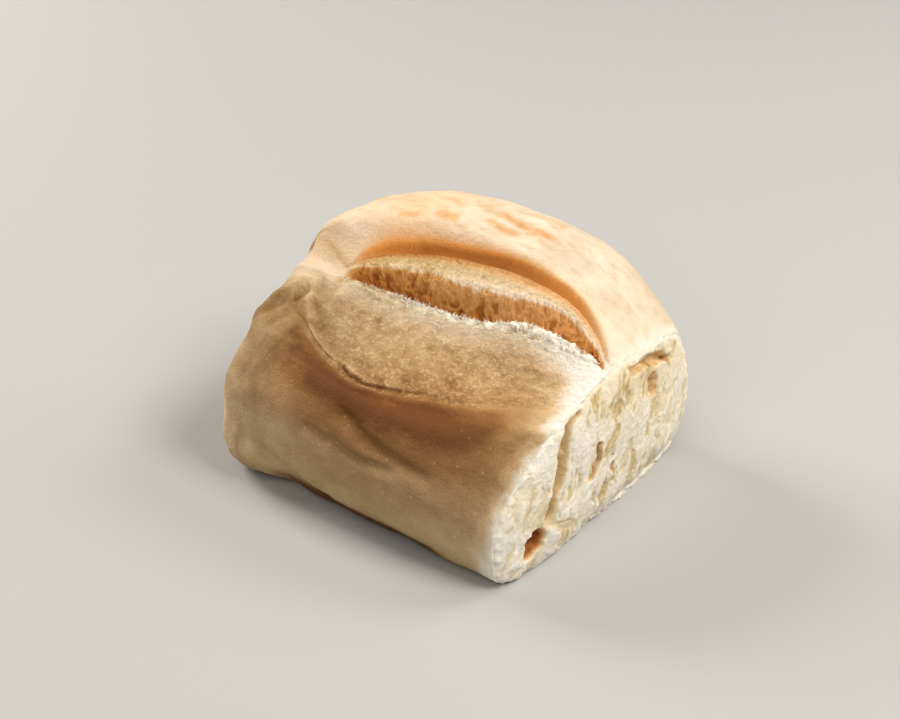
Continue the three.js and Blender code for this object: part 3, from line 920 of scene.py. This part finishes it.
def skin_values(points, s, v):
    """The skin's vertex values on its plain form: how browned, torn, shaded inside the slash
    (painted shade), warm and pebbly.
    """
    x, z = points[..., 0], points[..., 2]
    wide = mouth_open(s)
    wander = pattern(points, "white wander") + field(WHITE_REACH, s, v)
    rim_white = zone(s[:, None] + wander, "white rim")
    fading = 1 - (1 - RIM_BROWNING) * zone(s[:, None] + wander * 1.5, "fading")
    browned, stained = browning(points, s, v)
    behind, cracked = crack(points, s, v)
    # Painted shade in the flap's crease, and a painted highlight on the lip behind it.
    crack_shade_and_lip_highlight = hump(behind, -0.01, 0.05) * CRACK_PAINTED_SHADE - hump(behind, LIP_PLACE, 0.06) * LIP_PAINTED_HIGHLIGHT
    # The band under the ear's edge: partly its own browning, partly painted shade.
    band = hump(v[None], *EAR_BAND) * np.clip(wide * 1.5, 0, 1)
    band = band * (1 - 0.5 * ease(s, 0.15, 0.6))[:, None]
    bake = (field(BAKE, s, v) + browned + band * EAR_BAND_BROWN_AND_SHADE) * fading + crack_shade_and_lip_highlight * cracked
    run_out = field(RUN_OUT, s, v) * ease(s, MOUTH_SPAN[0] + 0.06, MOUTH_SPAN[0] - 0.04)[:, None]
    warm = field(WARM, s, v) * np.clip(wide * 1.5, 0, 1)
    warm = warm + stained * STAIN_WARM + band * EAR_BAND_WARM
    return {
        "bake": bake + (RUN_OUT_BAKE - bake) * run_out,
        "torn": np.clip(field(TORN, s, v) * ease(wide, 0, 0.4) + rim_white, 0, 1),
        "depth": np.clip(field(SKIN_HOLLOW_SHADE, s, v) * wide, 0, 1),
        "warm": warm + CROWN_WARM * zone(z, "warm crown along Z") * zone(x, "warm crown"),
        "grain": opened_flap(s, v),
    }


def loaf_skin(material):
    """The skin from the closed end's pole to the torn rim: the plain form pushed out by its relief,
    its front wall marked, and behind the rim a recess that the crumb's face fills."""
    size_left, s_left = end_rings(LEFT_RINGS, CLOSED_CORNER, CLOSED_SQUARENESS)
    s_body = np.linspace(-1 + CLOSED_CORNER, 1 - TORN_CORNER, SKIN_COLUMNS)
    size_rim, s_rim = end_rings(RIM_STEPS, TORN_CORNER, TORN_SQUARENESS)
    s = np.concatenate([-s_left[1:], s_body, s_rim[::-1][:RIM_RINGS]])
    size = np.concatenate([size_left[1:], np.ones(SKIN_COLUMNS), size_rim[::-1][:RIM_RINGS]])
    v = skin_rows()
    plain = loaf_form(s, size, v)
    relief = crust_relief(plain, s, v)[..., None]
    points = plain + normals_of(plain, True) * relief * ease(size, 0, 0.2)[:, None, None]
    points[..., 0] -= RIM_TUCK * (ease(size, 0.999, 0.96) * (s > 0))[:, None]
    front = ease(-plain[..., 1], HALF_WIDTH * 0.55, HALF_WIDTH * 0.8) * size[:, None]
    points[..., 1] += marks_depth(plain[..., 0], plain[..., 2], FRONT_MARKS) * front
    points[..., 2] = np.maximum(points[..., 2], 0)
    rings = np.concatenate([points, closing_rings(points[-1], RECESS_SHARES, RECESS_DEPTH)])
    grids = {key: np.pad(grid, ((0, len(RECESS_SHARES)), (0, 0)), "edge")
             for key, grid in skin_values(plain, s, v).items()}
    ends = end_point(lengthwise(-1.0, 0.0)), end_point(rings[-1, :, 0].mean())
    return ringed_piece("loaf_skin", rings, *ends, grids, material)


# ---- The crumb inside the slash ----

SLASH_COLUMNS = 590
SLASH_SPAN = (-0.605, 0.905)
SLASH_START = at("flap edge") - 0.35
SLASH_END = at("ear under") + 0.25
# How many rows each stretch gets, from the flap's edge over the valley and the wall to the ear.
SLASH_ROWS = ((SLASH_START, 20), (at("flap edge"), 28), (at("flap lip"), 12), (at("valley"), 12),
              (at("wall foot"), 34), (at("wall top"), 20), (at("shelf"), 18), (at("ear under"), 8))
# Its plain back: the rows' shares of the way from the ear to the flap, and how deep it sags, in mm.
SLASH_BACK = (0.1, 0.3, 0.5, 0.7, 0.9)
SLASH_SAG = 9.0
# How far its borders lie under the skin, in mm.
SUNK = 0.9

# Where the crumb is fluffy, a wall of cut bubbles or a shelf of small ones, and how strongly.
FLUFFY = {"flap edge": (0.7, 1, 1), "flap lip": (0.5, 0.8, 0.8)}
WALLED = {"valley": 0.6, "wall foot": (0.8, 1, 1.6), "wall top": (0.4, 0.5, 0.8)}
SHELVED = {"wall top": 0.4, "shelf": 1, "ear under": 0.9}
# How much painted shade the crumb's hollows get and how warm it is, outside the wall and on it. On
# the wall the dark, deeper towards its foot, is partly its own browning and partly painted shade,
# and the warmth partly its own colour and partly a painted glow of light through it.
SLASH_HOLLOW_SHADE = {
    "flap middle": 0.5, "flap edge": (1.2, 0.14, 0), "flap lip": (1.1, 0.04, 0),
    "valley": 0.5, "wall foot": 0.4, "wall top": (0.9, 0.3, 0.16), "shelf": (0.9, 0.53, 0.25),
    "ear under": (0.9, 0.62, 0.28),
}
SLASH_WARM_AND_GLOW = {
    "wall top": (0.4, 0.15, 0.4), "shelf": (0.3, 0.15, 0.3), "ear under": (0.6, 0.6, 0.6),
}
WALL_BROWN_AND_SHADE = (1.3, 0.95, 0.88)
WALL_WARM_AND_GLOW = (0.9, 0.68, 1)
# The wall's cut bubbles, in mm, drawn tall by this stretch and bent by this warp.
BUBBLE_SIZE = 2.8
BUBBLE_STRETCH = (1, 1, 0.5)
BUBBLE_WARP = 0.8
# How much less painted shade the wall gets at its top than at its foot.
WALL_TOP_LESS_SHADE = 0.32
# How far the wall's ragged top stands up, in mm, and how browned the crumb is that isn't white.
CREST_RISE = 0.8
PLATEAU_BAKE = 0.34


def slash_rows():
    """Where the rows of the slash's crumb lie round the section, counted in points."""
    stops = [start for start, _ in SLASH_ROWS] + [SLASH_END]
    rows = [np.linspace(stops[i], stops[i + 1], count, endpoint=False)
            for i, (_, count) in enumerate(SLASH_ROWS)]
    return np.append(np.concatenate(rows), SLASH_END)


def slash_relief(points, s, v):
    """Outward push in mm of the torn crumb: fluff on the flap's edge, cut bubbles on the wall and
    small pits on the shelf; and how much painted shade each point gets, in the bubbles and pits,
    less on standing tufts."""
    wide = mouth_open(s)
    fluffy = field(FLUFFY, s, v) * ease(wide, 0, 0.3)
    walled = field(WALLED, s, v) * ease(wide, 0, 0.5)
    shelved = field(SHELVED, s, v) * ease(wide, 0, 0.5)
    patchy = 0.5 + 0.7 * ease(pattern(points, "tufts come and go"), -0.5, 0.6)
    tufts = pattern(points, "tufts") + strands(points + 5, 1.2, 3) * 0.3
    fluff = (0.1 + tufts + pattern(points, "fine tufts")) * patchy
    warp = np.stack([rough(points + shift, 2.6, 3) for shift in (0, 50, 90)], -1)
    tall = (points + warp * BUBBLE_WARP) * BUBBLE_STRETCH
    nearest, second, mark = cells(tall, BUBBLE_SIZE)
    bubbles = ease(second - nearest, -0.08, 0.6) * (0.15 + 0.85 * mark)
    bubbles = bubbles + foam(tall + 9, 1.3) * 0.25
    wall = 0.25 - bubbles + pattern(points, "uneven wall")
    pits = foam(points + 19, 1.3) * 0.14 + foam(points + 29, 0.8) * 0.1
    shelf = 0.25 + pattern(points, "uneven shelf") - pits
    relief = fluff * fluffy + wall * walled + shelf * shelved
    border = ease(v, SLASH_START, SLASH_START + 0.33) * ease(v, SLASH_END, SLASH_END - 0.3)
    border = border[None] * ease(wide, 0, 0.25)
    # Painted shade in the bubbles and pits; standing tufts get less, a painted highlight.
    hollow_shade = (bubbles * 0.5 - 0.2) * walled + (pits - 0.06) * 1.2 * shelved
    return (relief + SUNK) * border - SUNK, hollow_shade - (tufts - 0.2) * fluffy * 0.12


def crest(points, s, v):
    """How far the wall's ragged top stands up, in mm, more so towards the torn end."""
    ragged = pattern(points, "ragged wall top") * (1 + ease(s, 0.25, 0.6))[:, None]
    return ragged * hump(v, at("wall top") + 0.1, 0.35) * ease(mouth_open(s), 0, 0.5)


def on_wall(points, v):
    """1 on the wall, dark with its own browning and painted shade, from the valley up to its ragged
    top edge, and 0 elsewhere.
    """
    foot = at("valley") - 0.7
    top = at("wall top") + 0.12 - pattern(points, "ragged wall top") * 0.25
    return ease(v[None], foot, foot + 0.8) * ease(v[None], top + 0.1, top - 0.1)


def slash_crumb(material):
    """The torn inside of the slash: rings of its rows in front and a back that sags by a half sine,
    closed at both ends."""
    s = np.linspace(*SLASH_SPAN, SLASH_COLUMNS)
    v = slash_rows()
    plain = loaf_form(s, np.ones(len(s)), v)
    relief, hollow_shade = slash_relief(plain, s, v)
    front = plain + normals_of(plain, False) * relief[..., None]
    peaks = crest(plain, s, v)
    front[..., 2] += peaks * CREST_RISE
    back = []
    for share in SLASH_BACK:
        bridge = front[:, -1] + (front[:, 0] - front[:, -1]) * share
        bridge[:, 2] -= SLASH_SAG * math.sin(math.pi * share)
        back.append(bridge)
    rings = np.concatenate([front, np.stack(back, 1)], 1)
    wide = mouth_open(s)
    wall = on_wall(plain, v)
    # The crumb's painted shade, darker on the wall towards its foot, with a painted highlight on the
    # ragged top's peaks.
    depth = field(SLASH_HOLLOW_SHADE, s, v)
    paler = WALL_TOP_LESS_SHADE * ease(v[None], at("wall foot") - 0.2, at("wall top"))
    depth = depth + (along(s, WALL_BROWN_AND_SHADE, 2)[:, None] - paler - depth) * wall
    depth = np.clip(depth * ease(wide, 0, 0.4) + hollow_shade - peaks * 0.12, 0, 1)
    warm = field(SLASH_WARM_AND_GLOW, s, v)
    warm = warm + (along(s, WALL_WARM_AND_GLOW, 2)[:, None] - warm) * wall
    white = ease(v, SLASH_START + 0.1, at("flap edge") + 0.15)[None]
    white = white + ease(s[:, None] + pattern(plain, "slash white wander"), 0.5, 0.8)
    white = np.clip(white, 0, 1)
    torn = np.clip(white + pattern(plain, "white edge") * hump(white, 0.5, 0.35), 0, 1)
    grain = np.clip(np.maximum(field(SHELVED, s, v), 1 - white), 0, 1) * (1 - wall)
    behind = ((0, 0), (0, len(back)))
    grids = {
        "bake": np.full(rings.shape[:2], PLATEAU_BAKE),
        "torn": np.pad(torn, behind, constant_values=1),
        "depth": np.pad(depth, behind, "edge"),
        "warm": np.pad(warm, behind, "edge"),
        "grain": np.pad(grain, behind),
    }
    ends = rings[0].mean(0), rings[-1].mean(0)
    return ringed_piece("slash_crumb", rings, *ends, grids, material)


# ---- The torn face ----

FACE_RINGS = 131
FACE_AROUND = 640
# The crumb laps over the crust's edge: from which share of the half length, and in how many rings.
LAP_START = 0.915
LAP_RINGS = 14
# How far the lap lies over the crust and its first ring under it, in mm, and the plain back.
FACE_LIFT = 0.2
FACE_TUCK = 0.7
BACK_SHARES = (0.97, 0.9, 0.4)
BACK_DEPTH = 5.0
# Pockets pulled open: their path (y, z), their radius and depth in mm, and how much painted warm
# glow of light they get inside. The deeper ones get more painted shade.
POCKETS = (
    (((-28.6, 6.6), (-27.4, 8.2), (-26.4, 9.4)), 3.0, 7.0, 0.65),
    (((-11.6, 34.6), (-14.5, 33.2), (-16.8, 30), (-18, 25.5), (-19.5, 21), (-21.3, 17),
      (-23, 13.5)), 1.8, 2.4, 0.12),
    (((-24, 12.6), (-19, 9.4), (-14, 6.6)), 1.8, 0.3, 0.1),
    (((-5.4, 23.4), (-6, 19.5), (-7.8, 16)), 1.6, 2.4, 0.25),
    (((-2.9, 11.5), (-2.4, 7.5)), 2.3, 1.2, 0.1),
    (((0.2, 15.2), (0.8, 13.4)), 1.2, 1.4, 0.2),
    (((18, 28.2), (18.8, 25.6)), 2.6, 2.2, 0.3),
    (((9.5, 35), (14, 34.6), (19, 33.4), (26, 30.4)), 1.6, 2.4, 0.25),
)
# Pockets shallower than this have a finer edge as well.
FINE_EDGED_BELOW = 2.5
# The lower edge stands back beyond this y, by this many mm.
NOTCH_FROM = -9.0
NOTCH_BACK = 1.3


def pockets(flat, y, z):
    """How deep the pockets are, in mm, how much painted shade and how much painted warm glow they
    get: a bowl across each path, narrower at its ends, its edge uneven."""
    edge = pattern(flat, "pocket edges")
    finer = pattern(flat, "fine pocket edges")
    pocket, hollow_shade, warm = np.zeros((3, *y.shape))
    for path, radius, deep, warm_glow in POCKETS:
        distance, share = from_line(y, z, path)
        reach = radius * (0.65 + 0.35 * np.sin(np.pi * np.clip(share, 0.08, 0.92))) + edge
        reach = reach + finer * (deep < FINE_EDGED_BELOW)
        bowl = 1 - ease(distance / np.maximum(reach, 0.3), 0.35, 1.1)
        inside = ease(bowl, 0.01, 0.2)
        pocket = np.maximum(pocket, bowl * deep)
        hollow_shade = np.maximum(hollow_shade, inside * min(0.3 + 0.12 * deep, 1.0))
        warm = np.maximum(warm, inside * warm_glow)
    return pocket, hollow_shade, warm


def torn_relief(points):
    """How far the torn face stands out: swellings, clumps and slanting strands of pulled crumb with
    openings between, and pockets. Also the pockets' depth, the painted shade in the openings,
    between the strands and in the pockets, and the pockets' painted warm glow."""
    y, z = points[..., 1], points[..., 2]
    flat = np.stack([points[..., 0] * 0.7, y - 0.3 * (z - 20), z], -1)
    warp = np.stack([np.zeros_like(y), rough(flat, 6, 3), rough(flat + 50, 6, 3)], -1)
    bent = flat + warp * 1.4
    swell = pattern(flat, "broad swellings") + pattern(flat, "swellings")
    thick = strands(bent * [1, 1, 0.32] + 20, 4.4, 1.4)
    thin = strands(bent * [1, 1, 0.5] + 40, 1.5, 1.8)
    opened = ease(pattern(bent, "openings"), -0.02, 0.42)
    relief = swell + thick * 0.12 + thin * 0.06 - opened * 0.3 + pattern(flat, "clumps")
    notch = ease(y, NOTCH_FROM - 1, NOTCH_FROM + 1) * ease(z, 8, 0)
    relief = relief - NOTCH_BACK * notch
    pocket, hollow_shade, warm = pockets(flat, y, z)
    pits = foam(bent * [1, 1, 0.7] + 77, 1.1)
    grouped = 0.7 + 0.6 * ease(pattern(flat, "openings come and go"), -0.35, 0.45)
    # Painted shade in the openings and pits and between the strands; also darker towards the top and
    # the rear of the face.
    cavity_shade = (opened * (0.36 - thin * 0.16) + (1 - thick) * 0.12) * grouped + pits * 0.1
    cavity_shade = cavity_shade + 0.24 * ease(z, 18, 34) * ease(y, -14, 4) + 0.06 * ease(y, 0, 12)
    inner = pattern(points - pocket[..., None] * [1, 0, 0], "inside of pockets")
    within = ease(pocket, 0.2, 1.2)
    relief = relief * (1 - 0.9 * within) + inner * 0.35 * within
    return relief, pocket, np.clip(np.maximum(cavity_shade, hollow_shade * (0.9 - inner * 0.25)), 0, 1), warm


def face_columns():
    """Where the columns lie round the torn edge, counted in points: FACE_AROUND of them, evenly
    spaced by the way travelled along it."""
    around = np.linspace(0, len(NAMES), 4000, endpoint=False)
    edge = loaf_form(np.array([1.0]), np.array([1.0]), around)[0]
    steps = np.linalg.norm(np.roll(edge, -1, axis=0) - edge, axis=1)
    travelled = np.concatenate([[0], np.cumsum(steps)])
    shares = np.linspace(0, travelled[-1], FACE_AROUND, endpoint=False)
    return np.interp(shares, travelled, np.append(around, len(NAMES)))


def torn_crumb(material):
    """Rings from the crumb's lap over the rim to the middle of the face, closed by a plain back."""
    v = face_columns()
    corner = np.linspace(0.999, 0.008, FACE_RINGS)
    corner_s = 1 - TORN_CORNER * (1 - (1 - corner ** TORN_SQUARENESS) ** (1 / TORN_SQUARENESS))
    s = np.concatenate([np.linspace(LAP_START, corner_s[0], LAP_RINGS, endpoint=False), corner_s])
    size = np.concatenate([np.ones(LAP_RINGS), corner])
    plain = loaf_form(s, size, v)
    relief, pocket, cavity_shade, warm = torn_relief(plain)
    lap = ease(s, LAP_START, 0.95)[:, None]
    inner = ease(size, 0.985, 0.94)[:, None]
    ragged = pattern(plain, "ragged lap")
    lift = (FACE_LIFT + FACE_TUCK) * lap - FACE_TUCK + ragged * lap * (1 - inner)
    push = lift + relief * (0.35 * lap + 0.65 * inner) - pocket * inner
    points = plain + normals_of(plain, True) * push[..., None]
    back = closing_rings(points[0], BACK_SHARES, BACK_DEPTH)[::-1]
    rings = np.concatenate([back, points])
    rings[..., 2] = np.maximum(rings[..., 2], 0)
    behind = ((len(back), 0), (0, 0))
    grids = {
        "bake": np.zeros(rings.shape[:2]),
        "torn": np.ones(rings.shape[:2]),
        "depth": np.pad(cavity_shade * (0.3 + 0.7 * inner), behind),
        "warm": np.pad(warm * inner, behind),
    }
    ends = (end_point(ring[:, 0].mean()) for ring in (rings[0], rings[-1]))
    return ringed_piece("torn_crumb", rings, *ends, grids, material)


# ---- Shreds of torn crumb ----

SHRED_RINGS = 5
SHRED_SIDES = 4
EDGE_SHREDS = 1800
TOP_SHREDS = 160


def shreds(name, roots, ways, lengths, thick, depth, material):
    """Short crumb threads: from each root a bent path, its radius a lumpy taper, closed ends."""
    count = len(roots)
    t = np.linspace(0, 1, SHRED_RINGS + 2)[None, :, None]
    bend = rng.normal(size=(count, 1, 3)) * lengths[:, None, None] * 0.45
    ways = ways / np.linalg.norm(ways, axis=1, keepdims=True)
    path = roots[:, None] + ways[:, None] * lengths[:, None, None] * (t - 0.15) + bend * t ** 2
    path = path + rng.normal(size=path.shape) * thick[:, None, None] * 0.25
    tangent = unit(np.gradient(path, axis=1))
    side = unit(np.cross(tangent, [0.3, 0.2, 0.93]))
    other = np.cross(tangent, side)
    angle = np.linspace(0, 2 * np.pi, SHRED_SIDES, endpoint=False)[None, None, :, None]
    taper = np.sqrt(np.clip(1 - (t[..., None] * 1.02 - 0.05) ** 2, 0, 1))
    lumps = 0.75 + 0.5 * rng.random((count, SHRED_RINGS + 2, SHRED_SIDES, 1))
    radius = thick[:, None, None, None] * taper * lumps
    outward = side[:, :, None] * np.cos(angle) + other[:, :, None] * np.sin(angle)
    ring = path[:, :, None] + outward * radius
    body = ring[:, 1:-1].reshape(count, -1, 3)
    points = np.concatenate([path[:, :1], body, path[:, -1:]], 1)
    each = points.shape[1]
    shift = (np.arange(count) * each)[:, None, None]
    # The sides turn the other way round the path, so each face's corners are taken in reverse.
    quads, triangles = ((np.roll(faces[:, ::-1], 1, axis=1) + shift).reshape(-1, faces.shape[1])
                        for faces in ring_faces(SHRED_RINGS, SHRED_SIDES))
    fields = {
        "bake": np.zeros(count * each),
        "torn": np.ones(count * each),
        "depth": np.repeat(depth, each),
        "warm": np.zeros(count * each),
    }
    return new_piece(name, points.reshape(-1, 3), quads, triangles, fields, material)


def scattered(count, s_span, v_middle, v_reach):
    """Random places on the plain form: their points, normals and s."""
    s = np.sort(rng.uniform(*s_span, count))
    v = np.sort(rng.normal(v_middle, v_reach, 64))
    plain = loaf_form(s, np.ones(count), v)
    normal = normals_of(plain, False)
    column = rng.integers(0, len(v), count)
    row = np.arange(count)
    return plain[row, column], normal[row, column], s


def slash_shreds(material):
    """Threads of crumb on the fluffy torn edge of the flap and on the wall's ragged top."""
    flap_edge, wall_top = at("flap edge") + 0.25, at("wall top") + 0.1
    edge, edge_normal, edge_s = scattered(EDGE_SHREDS, (-0.58, 0.88), flap_edge, 0.25)
    ways = edge_normal * 0.4 + np.array([0, 0.3, 0.1]) + rng.normal(size=edge.shape) * 0.8
    size = rng.random(len(edge)) ** 2
    wide = openness(edge_s, MOUTH_SPAN)
    top, top_normal, _ = scattered(TOP_SHREDS, (-0.5, 0.86), wall_top, 0.2)
    top_ways = top_normal * 0.7 + np.array([0, -0.5, 0.2]) + rng.normal(size=top.shape) * 0.7
    top_size = rng.random(len(top)) ** 2
    roots = np.concatenate([edge + edge_normal * 0.4, top])
    ways = np.concatenate([ways, top_ways])
    lengths = np.concatenate([(0.35 + 0.75 * size) * (0.4 + 0.6 * wide), 0.3 + 0.5 * top_size])
    thick = np.concatenate([0.05 + 0.05 * size, 0.05 + 0.05 * top_size])
    # The threads' painted shade, like the crumb they sit on: more towards the closed end, a middle
    # tone on the wall's top.
    edge_depth = rng.uniform(0, 0.06, len(edge)) + 0.45 * ease(edge_s, -0.2, -0.5)
    depth = np.concatenate([edge_depth, rng.uniform(0.35, 0.7, len(top))])
    return shreds("slash_shreds", roots, ways, lengths, thick, depth, material)


# ---- Floor, light and camera ----


def direction(azimuth, elevation):
    """A unit vector towards an azimuth, from -Y towards +X, and an elevation, in degrees."""
    a = math.radians(azimuth)
    e = math.radians(elevation)
    return np.array([math.sin(a) * math.cos(e), -math.cos(a) * math.cos(e), math.sin(e)])


def aim(thing, place, target):
    """Puts a lamp or camera at a place so that it looks at the target."""
    thing.location = place
    back = np.array(place) - np.array(target)
    yaw = math.atan2(back[1], back[0]) + math.pi / 2
    tilt = math.atan2(math.hypot(back[0], back[1]), back[2])
    thing.rotation_euler = (tilt, 0, yaw)


# Square soft lamps round the loaf: their azimuth, elevation, size in metres and watts.
LAMPS = {
    "rear key": (150, 38, 0.4, 4.0),
    "left key": (-90, 28, 0.4, 7.1),
    "right key": (95, 50, 0.4, 6.0),
    "front fill": (10, 45, 0.6, 2.9),
}
LAMP_DISTANCE = 0.9
LAMP_COLOUR = (1.0, 0.96, 0.9)
FLOOR_REACH = 2.0
FLOOR_COLOUR = (0.46, 0.455, 0.445, 1)
STUDIO_COLOUR = (1, 0.98, 0.95, 1)
STUDIO_STRENGTH = 0.03
VIEW_AZIMUTH = 37.5
VIEW_ELEVATION = 31.0
VIEW_DISTANCE = 0.442
VIEW_LENS = 75
AIM = (-0.05, -1.2, 27.2)


def lamp(name, azimuth, elevation, size, watts):
    """A square soft lamp aimed at the middle of the loaf."""
    data = bpy.data.lights.new(name, "AREA")
    data.shape = "SQUARE"
    data.size = size
    data.energy = watts
    data.color = LAMP_COLOUR
    light = bpy.data.objects.new(name, data)
    bpy.context.scene.collection.objects.link(light)
    target = np.array([0, 0, HEIGHT / 2]) * MM
    aim(light, target + direction(azimuth, elevation) * LAMP_DISTANCE, target)


def pale_floor():
    """A wide, plain, pale floor under the loaf."""
    square = ((-1, -1, 0), (1, -1, 0), (1, 1, 0), (-1, 1, 0))
    mesh = bpy.data.meshes.new("floor")
    mesh.from_pydata(np.array(square) * FLOOR_REACH, [], [(0, 1, 2, 3)])
    material = bpy.data.materials.new("pale floor")
    material.use_nodes = True
    shader = material.node_tree.nodes["Principled BSDF"]
    shader.inputs["Base Color"].default_value = FLOOR_COLOUR
    shader.inputs["Roughness"].default_value = 0.8
    mesh.materials.append(material)
    floor = bpy.data.objects.new("floor", mesh)
    bpy.context.scene.collection.objects.link(floor)


def camera():
    """The camera, aimed from the side that shows the flap and the torn end."""
    data = bpy.data.cameras.new("camera")
    data.lens = VIEW_LENS
    data.sensor_width = 36
    data.clip_start = 0.01
    eye = bpy.data.objects.new("camera", data)
    bpy.context.scene.collection.objects.link(eye)
    target = np.array(AIM) * MM
    aim(eye, target + direction(VIEW_AZIMUTH, VIEW_ELEVATION) * VIEW_DISTANCE, target)
    bpy.context.scene.camera = eye


def world():
    """An even, faint light from all round."""
    made = bpy.data.worlds.new("studio")
    made.use_nodes = True
    background = made.node_tree.nodes["Background"]
    background.inputs["Color"].default_value = STUDIO_COLOUR
    background.inputs["Strength"].default_value = STUDIO_STRENGTH
    bpy.context.scene.world = made


camera()
world()
pale_floor()
for lamp_name, numbers in LAMPS.items():
    lamp(lamp_name, *numbers)
bpy.context.scene.view_settings.view_transform = "Standard"

crust = bread("crust", 0.8)
crumb = bread("crumb", 0.65)
thread = bread("thread", 0.2)
skin_piece = loaf_skin(crust)
pieces = {
    skin_piece: "crust",
    slash_crumb(crumb): "crumb",
    torn_crumb(crumb): "crumb",
    slash_shreds(thread): "crumb",
}
for piece, slot in pieces.items():
    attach(piece, "root")
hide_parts("loaf")
